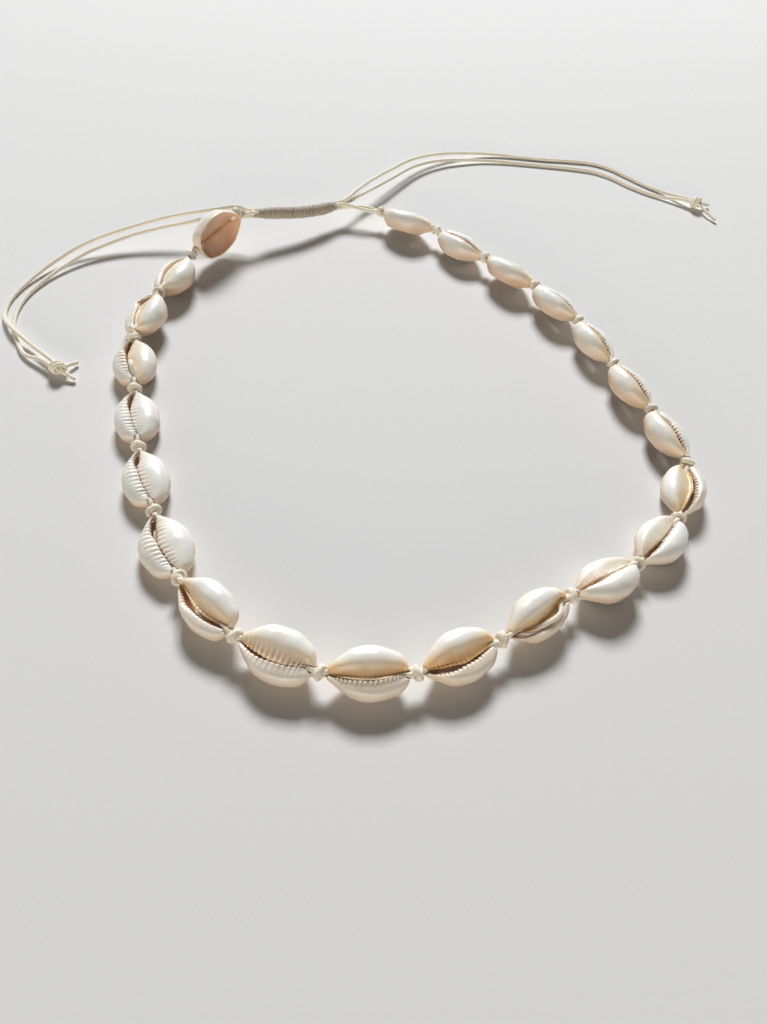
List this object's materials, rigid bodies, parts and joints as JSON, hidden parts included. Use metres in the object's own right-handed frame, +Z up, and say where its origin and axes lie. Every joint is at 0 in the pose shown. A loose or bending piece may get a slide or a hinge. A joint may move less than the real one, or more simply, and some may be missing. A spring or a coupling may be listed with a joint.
{
  "type": "shell necklace",
  "caption": "Necklace of cut cowrie shells knotted onto a doubled cord and closed by a wrapped sliding knot with long cord tails, lying in a loop.",
  "frame": {"origin": "middle of the necklace's loop of shells and sliding knot, on the surface that it lies on", "axes": "+Z up from the surface, +Y from the front of the necklace towards the sliding knot, +X to the right as seen from the front"},
  "size_m": [0.2226, 0.2363, 0.0147],
  "materials": {
    "shell": "glossy ivory shell",
    "cord": "waxed ecru cotton"
  },
  "bodies": {
    "root": {"shell_01": "shell", "shell_02": "shell", "shell_03": "shell", "shell_04": "shell", "shell_05": "shell", "shell_06": "shell", "shell_07": "shell", "shell_08": "shell", "shell_09": "shell", "shell_10": "shell", "shell_11": "shell", "shell_12": "shell", "shell_13": "shell", "shell_14": "shell", "shell_15": "shell", "shell_16": "shell", "shell_17": "shell", "shell_18": "shell", "shell_19": "shell", "shell_20": "shell", "shell_21": "shell", "shell_22": "shell", "string": "cord", "sliding_knot": "cord", "tail_left_a": "cord", "tail_left_b": "cord", "tail_right_a": "cord", "tail_right_b": "cord", "left_end_knot": "cord", "right_end_knot": "cord"}
  },
  "joints": []
}
